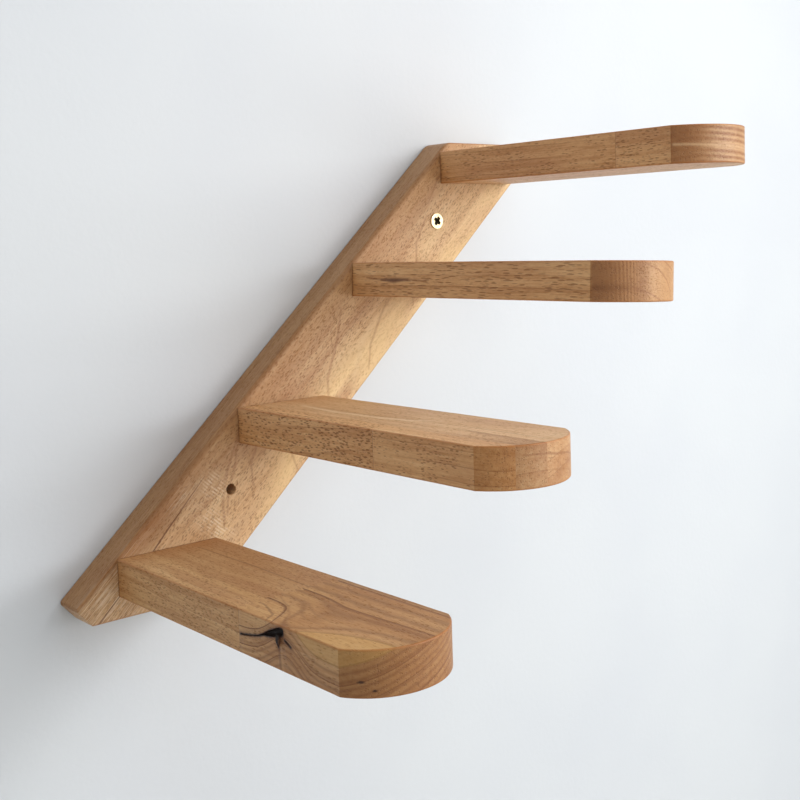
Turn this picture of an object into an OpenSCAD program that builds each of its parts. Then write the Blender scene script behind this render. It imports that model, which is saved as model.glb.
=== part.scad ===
// Wall rack: a slanted backboard with four flat tongues standing straight out of it.
// The tongues are glued up from finger-jointed timber and screwed on from behind the board.
// Frame: X along the wall to the right, +Y into the wall, +Z up.
// The origin is the centre of the backboard's back face, which lies on the wall.

/* [Backboard] */
// Width of the backboard, square to its long edges
board_w = 58; // [54:1:80]
// Thickness of the backboard
board_t = 20; // [16:1:26]
// Slant of the backboard above the horizontal
slant = 42.3; // [40:0.1:50]
// Length cut back along the level edge at each sharp corner
corner_clip = 20; // [8:1:22]
// Length cut back along the slanted edge at each sharp corner
corner_clip_side = 15; // [8:1:22]

/* [Tongues] */
// Width of a tongue along the wall
tongue_w = 60; // [54:1:60]
// Thickness of a tongue
tongue_t = 20; // [16:1:22]
// Length of each tongue from the board to its tip, top one first
tongue_l = [194, 201, 205, 205]; // [160:1:260]
// Drop from the board's upper end to the top tongue's upper face
top_margin = 6; // [2:1:30]
// Drop from one tongue's upper face to the next one's, top one first
tongue_pitch = [67, 77, 70]; // [45:1:100]
// Height of the lowest tongue's upper face above the board's foot
foot_h = 32; // [30:1:70]
// Depth of the curved tip, from its corners to its furthest point
tip_depth = 18; // [10:1:26]
// Angle that the second tongue is turned about its length, its right side down
second_turn = 2.6; // [0:0.1:4]

/* [Glue joints] */
// Distance from the board to the finger joints of the first, third and fourth tongues
finger_joint = [140, 118, 115]; // [60:1:145]
// Length of the fingers
finger_l = 4.5; // [3:0.5:8]
// Distance between two fingers, which is adjusted to a whole number across the timber
finger_pitch = 4; // [3:0.5:8]
// Width of the third tongue's left stave, the one with the finger joint
left_stave = 12.5; // [8:0.5:20]
// Width of the third tongue's middle stave
middle_stave = 15; // [10:0.5:22]

/* [Wall fixing] */
// Diameter of the two holes for wall screws
wall_hole_d = 6; // [5.5:0.1:7]
// Diameter of the wall screw's shank
wall_screw_d = 5; // [4:0.1:5.2]
// Length of the wall screw, head included
wall_screw_l = 50; // [45:1:70]
// Diameter of the wall screw's head
wall_head_d = 10; // [9.6:0.1:12]
// Height that the wall screw's head stands proud of the board
head_proud = 1; // [0.2:0.1:1.5]
// Diameter of the wall plug
plug_d = 8; // [7:0.5:10]
// Length of the wall plug beyond the point of the wall screw
plug_spare = 8; // [4:1:20]
// Depth that the plug's mouth is set below the wall's surface
plug_set = 3; // [2.5:0.1:6]

/* [Tongue screws] */
// Diameter of a tongue screw's shank
tie_d = 4; // [3:0.1:4.5]
// Length of a tongue screw, head included
tie_l = 45; // [35:1:60]
// Diameter of a tongue screw's head
tie_head_d = 8; // [7.5:0.1:9]
// Distance between the two screws of one tongue
tie_pitch = 30; // [24:1:30]

/* [Hidden] */
$fn = 64;
eps = 0.5;

// Clearance all round between a screw and the wood, and between a screw and its plug
slack = 0.05;
// Depth that a screw's head lies below the board's back face
head_sink = 0.4;
// Thickness of a screw head's rim
rim_t = 0.4;
// Length of a screw's pointed end
point_l = 5;
// Width of a cross recess's slots, as a share of the head's diameter
recess_share = 0.12;
// Width of the slit that lets the wall plug spread
slit_w = 0.8;
// Length of the plug's uncut collar
plug_collar = 6;
// Length of the plug's tapered nose
plug_nose = 3;
// Thickness of the plug's closed end
plug_floor = 2;

wood_board = "#c89a62";
wood_dark = "#b98650";
wood_mid = "#c8965c";
wood_light = "#d8ab72";
yellow_zinc = "#e0c069";
steel = "#9a9ca0";
nylon = "#c9c9c4";

board_front = -board_t;
board_h = foot_h + tongue_pitch[2] + tongue_pitch[1] + tongue_pitch[0] + top_margin;
// Height of each tongue's upper face above the board's foot, top one first
tongue_top = [
    board_h - top_margin,
    foot_h + tongue_pitch[2] + tongue_pitch[1],
    foot_h + tongue_pitch[2],
    foot_h
];
// Horizontal run of the board at one height
board_span = board_w / sin(slant);
// Turn of each tongue about its length, top one first
tongue_turn = [0, second_turn, 0, 0];
// Cut-back of a sharp corner along the slant, measured across and up
clip_x = corner_clip_side * cos(slant);
clip_z = corner_clip_side * sin(slant);
// Radius of the tip's arc, which passes through both corners and the furthest point
tip_r = (pow(tongue_w / 2, 2) + pow(tip_depth, 2)) / (2 * tip_depth);
tie_x = [(tongue_w - tie_pitch) / 2, (tongue_w + tie_pitch) / 2];
// Mouth of the conical seat that the wall screw's proud head has pressed into the board
seat_d = wall_head_d - 2 * (head_proud - rim_t) + 2 * slack;
plug_l = wall_screw_l - head_proud - board_t - plug_set + plug_spare;

// Height above the foot, as a Z of the frame
function level(h) = h - board_h / 2;
// X of the board's left edge and of its centre line at a height above the foot
function left_x(h) = level(h) / tan(slant) - board_span / 2;
function centre_x(h) = level(h) / tan(slant);
// The wall holes lie on the centre line, halfway between two tongues
function gap_mid(i) = (tongue_top[i] + tongue_top[i + 1] - tongue_t) / 2;
// Height of a tongue's middle above the foot
function tongue_mid(i) = tongue_top[i] - tongue_t / 2;

// Puts its children at a height above the foot on the board's back face
module on_back(x, h) {
    translate([x, 0, level(h)])
        children();
}

// A screw that lies along +Y with its point at +Y; the origin is the middle of its head's top
module screw(d, l, head_d) {
    cone_l = (head_d - d) / 2;
    recess_w = head_d * recess_share;
    rotate([-90, 0, 0])
        difference() {
            union() {
                cylinder(h = rim_t, d = head_d);
                translate([0, 0, rim_t])
                    cylinder(h = cone_l, d1 = head_d, d2 = d);
                cylinder(h = l - point_l, d = d);
                translate([0, 0, l - point_l])
                    cylinder(h = point_l, d1 = d, d2 = 0.6);
            }
            for (a = [0, 90])
                rotate([0, 0, a])
                    translate([-head_d * 0.27, -recess_w / 2, -eps])
                        cube([head_d * 0.54, recess_w, cone_l * 0.8 + eps]);
        }
}

// Outline of the board as seen from the room, sharp corners cut back
module board_outline() {
    foot_left = left_x(0);
    top_right = left_x(board_h) + board_span;
    polygon([
        [foot_left + corner_clip, level(0)],
        [foot_left + board_span, level(0)],
        [top_right - clip_x, level(board_h) - clip_z],
        [top_right - corner_clip, level(board_h)],
        [left_x(board_h), level(board_h)],
        [foot_left + clip_x, level(0) + clip_z]
    ]);
}

// Hole through the board for a wall screw
module wall_hole(h) {
    on_back(centre_x(h), h)
        rotate([90, 0, 0])
            translate([0, 0, -eps])
                cylinder(h = board_t + 2 * eps, d = wall_hole_d);
}

// Clearance hole and countersink of one tongue screw, cut from the board's back
module tie_hole() {
    cone_l = (tie_head_d - tie_d) / 2 + slack;
    rotate([90, 0, 0]) {
        translate([0, 0, -eps])
            cylinder(h = board_t + 2 * eps, d = tie_d + 2 * slack);
        translate([0, 0, -eps])
            cylinder(h = head_sink + rim_t + slack + eps, d = tie_head_d + 2 * slack);
        translate([0, 0, head_sink + rim_t + slack])
            cylinder(h = cone_l, d1 = tie_head_d + 2 * slack, d2 = tie_d + 2 * slack);
    }
}

// Puts its children at each screw of one tongue
module at_ties(i) {
    for (x = tie_x)
        on_back(left_x(tongue_top[i]) + x, tongue_mid(i))
            children();
}

module backboard() {
    color(wood_board)
        difference() {
            rotate([90, 0, 0])
                linear_extrude(board_t)
                    board_outline();
            wall_hole(gap_mid(0));
            wall_hole(gap_mid(2));
            // Seat of the wall screw's cone
            on_back(centre_x(gap_mid(0)), gap_mid(0))
                translate([0, board_front, 0])
                    rotate([-90, 0, 0])
                        cylinder(h = (seat_d - wall_hole_d) / 2, d1 = seat_d, d2 = wall_hole_d);
            for (i = [0:3])
                at_ties(i)
                    tie_hole();
        }
}

// Plan of a whole tongue: X across it from its left side, Y out from the board
module tongue_plan(i) {
    straight = tongue_l[i] - tip_depth;
    square([tongue_w, straight]);
    intersection() {
        translate([tongue_w / 2, tongue_l[i] - tip_r])
            circle(r = tip_r, $fn = 128);
        translate([0, straight - eps])
            square([tongue_w, tip_depth + 2 * eps]);
    }
}

// Plan of a stave across a tongue from x1 to x2
module stave_plan(x1, x2) {
    translate([x1, 0])
        square([x2 - x1, max(tongue_l) + 1]);
}

// Plan of the board's side of a finger joint in timber of this width
module near_side(width, joint) {
    fingers = round(width / finger_pitch);
    polygon(concat(
        [[width, -eps], [0, -eps]],
        [for (k = [0:2 * fingers]) [k * width / fingers / 2, joint - (k % 2) * finger_l]]
    ));
}

// Block of a tongue with its children's plan, drilled for the tongue screws
module block(i) {
    difference() {
        translate([left_x(tongue_top[i]), board_front, level(tongue_top[i])])
            rotate([0, tongue_turn[i], 0])
                translate([0, 0, -tongue_t])
                    linear_extrude(tongue_t)
                        mirror([0, 1])
                            intersection() {
                                tongue_plan(i);
                                children();
                            }
        at_ties(i)
            rotate([90, 0, 0])
                cylinder(h = tie_l + head_sink + 1, d = tie_d + 2 * slack);
    }
}

// The length of finger-jointed timber next to the board
module inner(i, width, joint) {
    color(wood_mid)
        block(i)
            near_side(width, joint);
}

// The length of finger-jointed timber at the tip
module outer(i, width, joint) {
    color(wood_dark)
        block(i)
            difference() {
                stave_plan(0, width);
                near_side(width, joint);
            }
}

module second_tongue() {
    color(wood_mid)
        block(1)
            stave_plan(0, tongue_w);
}

module third_middle() {
    color(wood_light)
        block(2)
            stave_plan(left_stave, left_stave + middle_stave);
}

module third_right() {
    color(wood_mid)
        block(2)
            stave_plan(left_stave + middle_stave, tongue_w);
}

// Countersunk screws that hold the tongues, two each, driven from the board's back
module tongue_screws() {
    color(steel)
        for (i = [0:3])
            at_ties(i)
                translate([0, -head_sink, 0])
                    mirror([0, 1, 0])
                        screw(tie_d, tie_l, tie_head_d);
}

// The wall screw in the upper hole
module wall_screw() {
    color(yellow_zinc)
        on_back(centre_x(gap_mid(0)), gap_mid(0))
            translate([0, board_front - head_proud, 0])
                screw(wall_screw_d, wall_screw_l, wall_head_d);
}

// The nylon plug that grips the wall screw inside the wall
module wall_plug() {
    color(nylon)
        on_back(centre_x(gap_mid(0)), gap_mid(0))
            translate([0, plug_set, 0])
                rotate([-90, 0, 0])
                    difference() {
                        union() {
                            cylinder(h = plug_l - plug_nose, d = plug_d);
                            translate([0, 0, plug_l - plug_nose])
                                cylinder(h = plug_nose, d1 = plug_d, d2 = plug_d - 2);
                        }
                        translate([0, 0, -eps])
                            cylinder(h = plug_l - plug_floor + eps, d = wall_screw_d + 2 * slack);
                        translate([-slit_w / 2, -plug_d, plug_collar])
                            cube([slit_w, 2 * plug_d, plug_l - plug_collar - 2 * plug_nose]);
                    }
}

backboard();
inner(0, tongue_w, finger_joint[0]);  // tongue_1_inner
outer(0, tongue_w, finger_joint[0]);  // tongue_1_outer
second_tongue();  // tongue_2
inner(2, left_stave, finger_joint[1]);  // tongue_3_left_inner
outer(2, left_stave, finger_joint[1]);  // tongue_3_left_outer
third_middle();  // tongue_3_middle
third_right();  // tongue_3_right
inner(3, tongue_w, finger_joint[2]);  // tongue_4_inner
outer(3, tongue_w, finger_joint[2]);  // tongue_4_outer
tongue_screws();
wall_screw();
wall_plug();
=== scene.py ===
"""Wall rack: a slanted oiled-wood backboard with four flat tongues, its screws and its plug."""
from math import atan2, cos, pi, radians, sin, sqrt, tan

import bmesh
import bpy
from mathutils import Matrix, Vector, noise
from mathutils.geometry import tessellate_polygon


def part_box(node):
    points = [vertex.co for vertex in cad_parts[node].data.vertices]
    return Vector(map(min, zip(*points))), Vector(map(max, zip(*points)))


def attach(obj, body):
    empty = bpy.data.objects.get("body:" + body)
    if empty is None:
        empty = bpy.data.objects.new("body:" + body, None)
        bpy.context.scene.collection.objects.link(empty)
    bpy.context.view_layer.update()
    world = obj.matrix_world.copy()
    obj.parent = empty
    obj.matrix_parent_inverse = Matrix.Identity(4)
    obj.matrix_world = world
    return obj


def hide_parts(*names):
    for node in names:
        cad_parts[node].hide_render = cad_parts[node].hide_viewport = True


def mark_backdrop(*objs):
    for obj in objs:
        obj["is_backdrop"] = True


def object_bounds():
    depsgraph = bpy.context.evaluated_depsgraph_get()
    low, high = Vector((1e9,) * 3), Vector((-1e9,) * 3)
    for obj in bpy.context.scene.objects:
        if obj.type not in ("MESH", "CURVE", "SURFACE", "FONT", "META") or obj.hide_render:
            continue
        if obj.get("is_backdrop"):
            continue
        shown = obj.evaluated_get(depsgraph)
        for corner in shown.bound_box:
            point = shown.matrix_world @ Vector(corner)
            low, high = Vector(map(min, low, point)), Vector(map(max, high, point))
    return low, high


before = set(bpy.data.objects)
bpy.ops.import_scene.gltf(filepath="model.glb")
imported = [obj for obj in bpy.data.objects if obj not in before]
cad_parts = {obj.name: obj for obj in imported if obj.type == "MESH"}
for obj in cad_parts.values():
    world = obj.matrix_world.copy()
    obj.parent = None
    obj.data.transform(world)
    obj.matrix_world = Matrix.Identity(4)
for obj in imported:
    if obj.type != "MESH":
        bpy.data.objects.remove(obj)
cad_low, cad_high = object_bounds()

MM = 0.001
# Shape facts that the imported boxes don't give, as in the part's source
SLANT = radians(42.3)
CORNER_CLIP, CORNER_CLIP_SIDE = 20 * MM, 15 * MM
TURN = {1: 0, 2: radians(2.6), 3: 0, 4: 0}
TIP_DEPTH = 18 * MM
JOINTS = {1: 140, 3: 118, 4: 115}
FINGER, FINGER_PITCH = 4.5, 4
TIE_PITCH = 30 * MM
HOLE_R = 3 * MM
# Radii of a tongue screw's hole and of its countersink's mouth, with their clearance
TIE_HOLE_R, TIE_MOUTH_R = 2.05 * MM, 4.05 * MM
# Edges that turn by more degrees than this stay sharp in the shading
SHARP_ANGLE = 32
TONGUE_NODES = {
    1: ["tongue_1_inner", "tongue_1_outer"],
    2: ["tongue_2"],
    3: ["tongue_3_left_inner", "tongue_3_left_outer", "tongue_3_middle", "tongue_3_right"],
    4: ["tongue_4_inner", "tongue_4_outer"],
}


# ---- small helpers

def linear(code):
    """A hex colour as the linear RGBA that a shader takes."""
    parts = [int(code[i:i + 2], 16) / 255 for i in (1, 3, 5)]
    return tuple(c / 12.92 if c <= 0.04045 else ((c + 0.055) / 1.055) ** 2.4 for c in parts) + (1,)


def add_object(name, data):
    obj = bpy.data.objects.new(name, data)
    bpy.context.scene.collection.objects.link(obj)
    return obj


def mesh_object(name, bm):
    """Turns a bmesh into an object, with its faces turned outwards."""
    bmesh.ops.recalc_face_normals(bm, faces=bm.faces)
    mesh = bpy.data.meshes.new(name)
    bm.to_mesh(mesh)
    bm.free()
    return add_object(name, mesh)


def apply_modifiers(obj):
    """Bakes the object's modifiers into its mesh."""
    graph = bpy.context.evaluated_depsgraph_get()
    mesh = bpy.data.meshes.new_from_object(obj.evaluated_get(graph))
    obj.modifiers.clear()
    old, obj.data = obj.data, mesh
    bpy.data.meshes.remove(old)


def cut(obj, tools, operation="DIFFERENCE"):
    """Cuts obj with each tool, or keeps what they share, and throws the tools away."""
    for tool in tools:
        modifier = obj.modifiers.new("cut", "BOOLEAN")
        modifier.operation = operation
        modifier.object = tool
        modifier.solver = "EXACT"
        apply_modifiers(obj)
        data = tool.data
        bpy.data.objects.remove(tool)
        bpy.data.meshes.remove(data)


def smooth_shading(obj):
    """Rounded arrises shade smoothly and flat faces stay flat."""
    mesh = obj.data
    mesh.shade_smooth()
    mesh.set_sharp_from_angle(angle=radians(SHARP_ANGLE))
    modifier = obj.modifiers.new("face weighted", "WEIGHTED_NORMAL")
    modifier.keep_sharp = True
    modifier.weight = 100


def finish_piece(obj, nodes, material):
    """A piece takes its material, rides on the rack's one body and stands for its CAD nodes."""
    obj.data.materials.clear()
    obj.data.materials.append(material)
    smooth_shading(obj)
    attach(obj, "root")
    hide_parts(*nodes)


def circle(bm, radius, z, segments):
    """A ring of points about Z. radius: a length, or a function that gives it for an angle."""
    turns = [2 * pi * k / segments for k in range(segments)]
    reach = [radius(a) if callable(radius) else radius for a in turns]
    return [bm.verts.new((r * cos(a), r * sin(a), z)) for a, r in zip(turns, reach)]


def skin(bm, rings, capped=True):
    """Joins closed rings of points in their order, and closes both ends."""
    for low, high in zip(rings, rings[1:]):
        for k in range(len(low)):
            n = (k + 1) % len(low)
            bm.faces.new((low[k], low[n], high[n], high[k]))
    if capped:
        bm.faces.new(rings[0])
        bm.faces.new(rings[-1])


def lathe(name, profile, segments=48, place=None):
    """A turned solid about +Z from (radius, z) points, low z first."""
    bm = bmesh.new()
    skin(bm, [circle(bm, radius, z, segments) for radius, z in profile])
    if place is not None:
        bmesh.ops.transform(bm, matrix=place, verts=bm.verts)
    return mesh_object(name, bm)


def prism(name, outline, low, high):
    """An upright solid over a plan of (x, y) points."""
    bm = bmesh.new()
    skin(bm, [[bm.verts.new((x, y, z)) for x, y in outline] for z in (low, high)])
    return mesh_object(name, bm)


# ---- shader expressions

class Graph:
    """A material whose nodes are written as expressions."""

    def __init__(self, name):
        self.material = bpy.data.materials.new(name)
        self.material.use_nodes = True
        self.tree = self.material.node_tree
        self.tree.nodes.clear()

    def node(self, kind, **settings):
        made = self.tree.nodes.new(kind)
        for key, value in settings.items():
            setattr(made, key, value)
        return made

    def put(self, socket, value):
        if isinstance(value, Wire):
            self.tree.links.new(value.socket, socket)
        else:
            socket.default_value = linear(value) if isinstance(value, str) else value

    def math(self, operation, *values, clamp=False):
        made = self.node("ShaderNodeMath", operation=operation, use_clamp=clamp)
        for socket, value in zip(made.inputs, values):
            self.put(socket, value)
        return Wire(self, made.outputs[0])

    def vector(self, x, y, z):
        made = self.node("ShaderNodeCombineXYZ")
        for socket, value in zip(made.inputs, (x, y, z)):
            self.put(socket, value)
        return Wire(self, made.outputs[0])

    def parts(self, output):
        spot = self.node("ShaderNodeTexCoord").outputs[output]
        split = self.node("ShaderNodeSeparateXYZ")
        self.tree.links.new(spot, split.inputs[0])
        return [Wire(self, out) for out in split.outputs]

    def place(self):
        """The three coordinates of the point in the rack's frame, in millimetres."""
        return [part * 1000 for part in self.parts("Object")]

    def facing(self):
        """The three parts of the surface's own direction in the rack's frame."""
        return self.parts("Normal")

    def noise(self, x, y, z, scale=1, detail=3, rough=0.5):
        made = self.node("ShaderNodeTexNoise", noise_dimensions="3D")
        self.put(made.inputs["Vector"], self.vector(x, y, z))
        for key, value in (("Scale", scale), ("Detail", detail), ("Roughness", rough)):
            made.inputs[key].default_value = value
        return Wire(self, made.outputs["Fac"])

    def sway(self, size, x, y, z, scale=1, detail=2):
        """Noise that swings to both sides of 0 by up to half the size."""
        return (self.noise(x, y, z, scale, detail) - 0.5) * size

    def cells(self, x, y, z):
        """Distance to the nearest scattered point, and a random number for that point."""
        made = self.node("ShaderNodeTexVoronoi", feature="F1", voronoi_dimensions="3D")
        self.put(made.inputs["Vector"], self.vector(x, y, z))
        made.inputs["Scale"].default_value = 1
        made.inputs["Randomness"].default_value = 1
        parts = self.node("ShaderNodeSeparateColor")
        self.tree.links.new(made.outputs["Color"], parts.inputs[0])
        return Wire(self, made.outputs["Distance"]), Wire(self, parts.outputs[0])

    def step(self, value, low, high, start=0, end=1):
        """Goes smoothly from start to end as value goes from low to high."""
        made = self.node("ShaderNodeMapRange", interpolation_type="SMOOTHSTEP")
        sockets = ("Value", "From Min", "From Max", "To Min", "To Max")
        for key, item in zip(sockets, (value, low, high, start, end)):
            self.put(made.inputs[key], item)
        return Wire(self, made.outputs["Result"])

    def mix(self, share, first, second, kind="MIX"):
        made = self.node("ShaderNodeMix", data_type="RGBA", blend_type=kind, clamp_factor=True)
        self.put(made.inputs["Factor"], share)
        self.put(made.inputs[6], first)
        self.put(made.inputs[7], second)
        return Wire(self, made.outputs[2])

    def gauss(self, value, centre, width):
        """A bell of height 1."""
        off = (value - centre) / width
        return self.math("EXPONENT", off * off * -0.5)

    def surface(self, colour, roughness, height=None, depth=MM, **constants):
        shader = self.node("ShaderNodeBsdfPrincipled")
        self.put(shader.inputs["Base Color"], colour)
        self.put(shader.inputs["Roughness"], roughness)
        for key, value in constants.items():
            shader.inputs[key.replace("_", " ")].default_value = value
        if height is not None:
            bump = self.node("ShaderNodeBump")
            bump.inputs["Distance"].default_value = depth
            self.put(bump.inputs["Height"], height)
            self.tree.links.new(bump.outputs[0], shader.inputs["Normal"])
        out = self.node("ShaderNodeOutputMaterial")
        self.tree.links.new(shader.outputs[0], out.inputs[0])
        return self.material


class Wire:
    """A value inside a Graph."""

    def __init__(self, graph, socket):
        self.graph, self.socket = graph, socket

    def _do(self, operation, *values):
        return self.graph.math(operation, *values)

    def __add__(self, other): return self._do("ADD", self, other)
    def __radd__(self, other): return self._do("ADD", other, self)
    def __sub__(self, other): return self._do("SUBTRACT", self, other)
    def __rsub__(self, other): return self._do("SUBTRACT", other, self)
    def __mul__(self, other): return self._do("MULTIPLY", self, other)
    def __rmul__(self, other): return self._do("MULTIPLY", other, self)
    def __truediv__(self, other): return self._do("DIVIDE", self, other)
    def __neg__(self): return self._do("MULTIPLY", self, -1)
    def abs(self): return self._do("ABSOLUTE", self)
    def root(self): return self._do("SQRT", self)
    def power(self, other): return self._do("POWER", self, other)
    def fract(self): return self._do("FRACT", self)
    def floor(self): return self._do("FLOOR", self)
    def least(self, other): return self._do("MINIMUM", self, other)
    def most(self, other): return self._do("MAXIMUM", self, other)
    def clamp(self): return self.graph.math("ADD", self, 0, clamp=True)


def capsule(x, y, start, end, r0, r1):
    """Signed distance in a plane to a stroke from start to end whose half-width goes from r0 to r1."""
    dx, dy = end[0] - start[0], end[1] - start[1]
    px, py = x - start[0], y - start[1]
    along = ((px * dx + py * dy) / (dx * dx + dy * dy)).clamp()
    ex, ey = px - along * dx, py - along * dy
    return (ex * ex + ey * ey).root() - (along * (r1 - r0) + r0)


def stroke(x, y, points, widths, wobble=0):
    """Signed distance to a line of strokes."""
    parts = [capsule(x, y, *pair, *size)
             for pair, size in zip(zip(points, points[1:]), zip(widths, widths[1:]))]
    total = parts[0]
    for part in parts[1:]:
        total = total.least(part)
    return total + wobble


def strokes(x, y, *lines):
    """Signed distance to the nearest of several lines, each its points and its half-widths."""
    total = stroke(x, y, *lines[0])
    for line in lines[1:]:
        total = total.least(stroke(x, y, *line))
    return total


# ---- wood

PALETTE = {
    "light": "#dcb98c", "mid": "#cca071", "deep": "#b17f4e",
    "red": "#a46f48", "pore": "#6b4222", "line": "#74482a",
    "arris": "#a9692f", "char": "#1d130e",
}
# How the wood looks unless a piece says otherwise
WHOLE = {
    # Growth rings: wander, spacing, unevenness, browning, and the strength and sureness of their lines
    "wander": 5, "spacing": 6.5, "shift": 5, "rings": 0.4, "lines": 0.3, "sure": 0,
    # Pores: share that is open, width, length, number across, darkness, and the small ones' strength
    "pores": 0.7, "pore_size": 1, "pore_long": 3.8, "pore_rate": 1.1, "pore_dark": 0.55,
    "pore_tint": PALETTE["pore"], "fine": 0.5,
    # Darkening of cut ends and of worn arrises, and of the whole piece
    "end": 0.75, "end_tone": "#a68a6a", "arris": 0.55, "depth": 0,
    "light": PALETTE["light"], "mid": PALETTE["mid"], "deep": PALETTE["deep"], "gain": (1.08, 1.04, 0.95),
}


def wood(name, along, across, origin, tones, growth=None, marks=(), edge=None):
    """Oiled rubberwood as a solid texture.

    along, across: unit directions of the grain and of the width. origin: the point they are measured from.
    tones: how the piece differs from WHOLE. growth(g, u, v, w): the growth coordinate in mm, even along a
    ring. marks: functions of (g, u, v, w, ring) that give more places, each with a tint and a strength.
    edge(g, u, v, w): 1 on an arris.
    """
    look = {**WHOLE, **tones}
    g = Graph(name)
    x, y, z = g.place()
    place = [x - origin[0], y - origin[1], z - origin[2]]
    third = Vector(along).cross(Vector(across))

    def part(direction, values):
        total = None
        for share, value in zip(direction, values):
            if abs(share) > 1e-6:
                total = value * share if total is None else total + value * share
        return total

    u, v, w = part(across, place), part(along, place), part(third, place)
    seed = look["seed"] * 37
    # Slow wander of the grain
    bend = g.noise(u * 0.03 + seed, v * 0.008, w * 0.03 + seed * 0.7, 1, 2) - 0.5
    bend = bend * look["wander"]
    sway = g.sway(5, u * 0.02 + seed, v * 0.02, w * 0.02)
    if growth is None:
        pu, pw, lean = look["pith"]
        du, dw = u - pu - v * lean, w - pw
        ring = (du * du + dw * dw).root() + bend
    else:
        ring = growth(g, u, v, w) + bend * 0.3
    across_u, across_w = u + sway, w + sway * 0.6
    # Tone along and across the grain, from broad bands to single fibres
    slow = g.noise(ring * 0.10 + seed, v * 0.006, across_w * 0.04, 1, 3, 0.55)
    streak = g.noise(across_u * 0.42 + seed, v * 0.011, across_w * 0.42, 1, 4, 0.62)
    fibre = g.noise(across_u * 1.25, v * 0.07 + seed, across_w * 1.25, 1, 3, 0.7)
    mottle = g.noise(across_u * 0.8, v * 0.34 + seed, across_w * 0.8, 1, 3, 0.6)
    # Growth rings: a tone that builds up and ends in a thin dark line
    shift = g.sway(look["shift"], ring * 0.12, seed, seed, detail=1)
    turn = (ring + shift) / look["spacing"] + 40
    share = turn.fract()
    vary = g.noise(turn.floor() * 7.31, seed, v * 0.01, 1, 0)
    dark_line = g.step(share, 0.88, 0.97) * g.step(share, 1, 0.985)
    dark_line = dark_line * g.step(vary, 0.38, 0.62).most(look["sure"])
    late = share * share * look["rings"] * g.step(vary, 0.3, 0.7, 0.4, 1)
    # Pores: thin vessels cut open by each face, as dashes along it and dots at its end
    size, long, rate = look["pore_size"], look["pore_long"], look["pore_rate"]
    far, chance = g.cells(across_u * rate + seed, v / long, across_w * rate)
    few = 1 - look["pores"]
    coarse = g.step(far, 0.40 * size, 0.24 * size) * g.step(chance, few, few + 0.25)
    near, often = g.cells(across_u * rate * 1.5, v * 1.7 / long + seed, across_w * rate * 1.5)
    fine = g.step(near, 0.42, 0.22) * g.step(often, 0.3, 0.6) * look["fine"]
    pores = coarse.most(fine)

    tone = slow * 0.75 + streak * 1.05 + fibre * 0.75 + mottle * 0.35 - 1.04 + late * 0.5 + look["depth"]
    colour = g.mix(g.step(tone, 0, 0.55), look["light"], look["mid"])
    colour = g.mix(g.step(tone, 0.4, 0.95), colour, look["deep"])
    hue = g.noise(ring * 0.05 + 9, v * 0.01 + seed, across_u * 0.08, 1, 2)
    colour = g.mix(g.step(hue, 0.42, 0.75) * 0.4, colour, PALETTE["red"])
    # Cut ends drink more oil
    end = g.step(part(along, g.facing()).abs(), 0.18, 0.42) * look["end"]
    colour = g.mix(end, colour, look["end_tone"], "MULTIPLY")
    colour = g.mix(dark_line * look["lines"], colour, PALETTE["line"])
    colour = g.mix(pores * look["pore_dark"] * (1 - end * 0.6), colour, look["pore_tint"])
    for made in marks:
        for mask, tint, strength in made(g, u, v, w, ring):
            colour = g.mix(mask * strength, colour, tint)
    if edge is not None:
        colour = g.mix(edge(g, u, v, w) * look["arris"], colour, PALETTE["arris"])
    colour = g.mix(1, colour, (*look["gain"], 1), "MULTIPLY")
    height = fibre * 0.12 + mottle * 0.1 - pores * 0.5 - dark_line * 0.08
    rough = 0.40 + fibre * 0.12 + pores * 0.2
    return g.surface(colour, rough, height, 0.3 * MM, IOR=1.46, Specular_IOR_Level=0.45)


# ---- slabs with eased arrises

def eased_slab(name, loop, front, back, flat_ends=()):
    """A slab between two planes over an outline, with its arrises rounded over.

    loop: (position, outward direction, radius at the front plane, radius at the back plane) for each
    outline point, as plan coordinates. front, back: the planes' heights. flat_ends: True closes the slab
    between its last and first outline points with a flat face that isn't rounded.
    """
    steps = 5
    bm = bmesh.new()
    rows = []
    side = 1 if back > front else -1
    for k in range(steps + 1):
        angle = pi / 2 * k / steps
        rows.append([(p - n * rf * (1 - sin(angle)), front + side * rf * (1 - cos(angle)))
                     for p, n, rf, rb in loop])
    for k in range(steps + 1):
        angle = pi / 2 * k / steps
        rows.append([(p - n * rb * (1 - cos(angle)), back - side * rb * (1 - sin(angle)))
                     for p, n, rf, rb in loop])
    verts = [[bm.verts.new((p.x, p.y, h)) for p, h in row] for row in rows]
    count = len(loop)
    last = count - 1 if flat_ends else count
    for low, high in zip(verts, verts[1:]):
        for k in range(last):
            n = (k + 1) % count
            bm.faces.new((low[k], low[n], high[n], high[k]))
    bm.faces.new(verts[0])
    bm.faces.new(verts[-1])
    if flat_ends:
        bm.faces.new([row[0] for row in verts] + [row[-1] for row in reversed(verts)])
    return mesh_object(name, bm)


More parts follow.
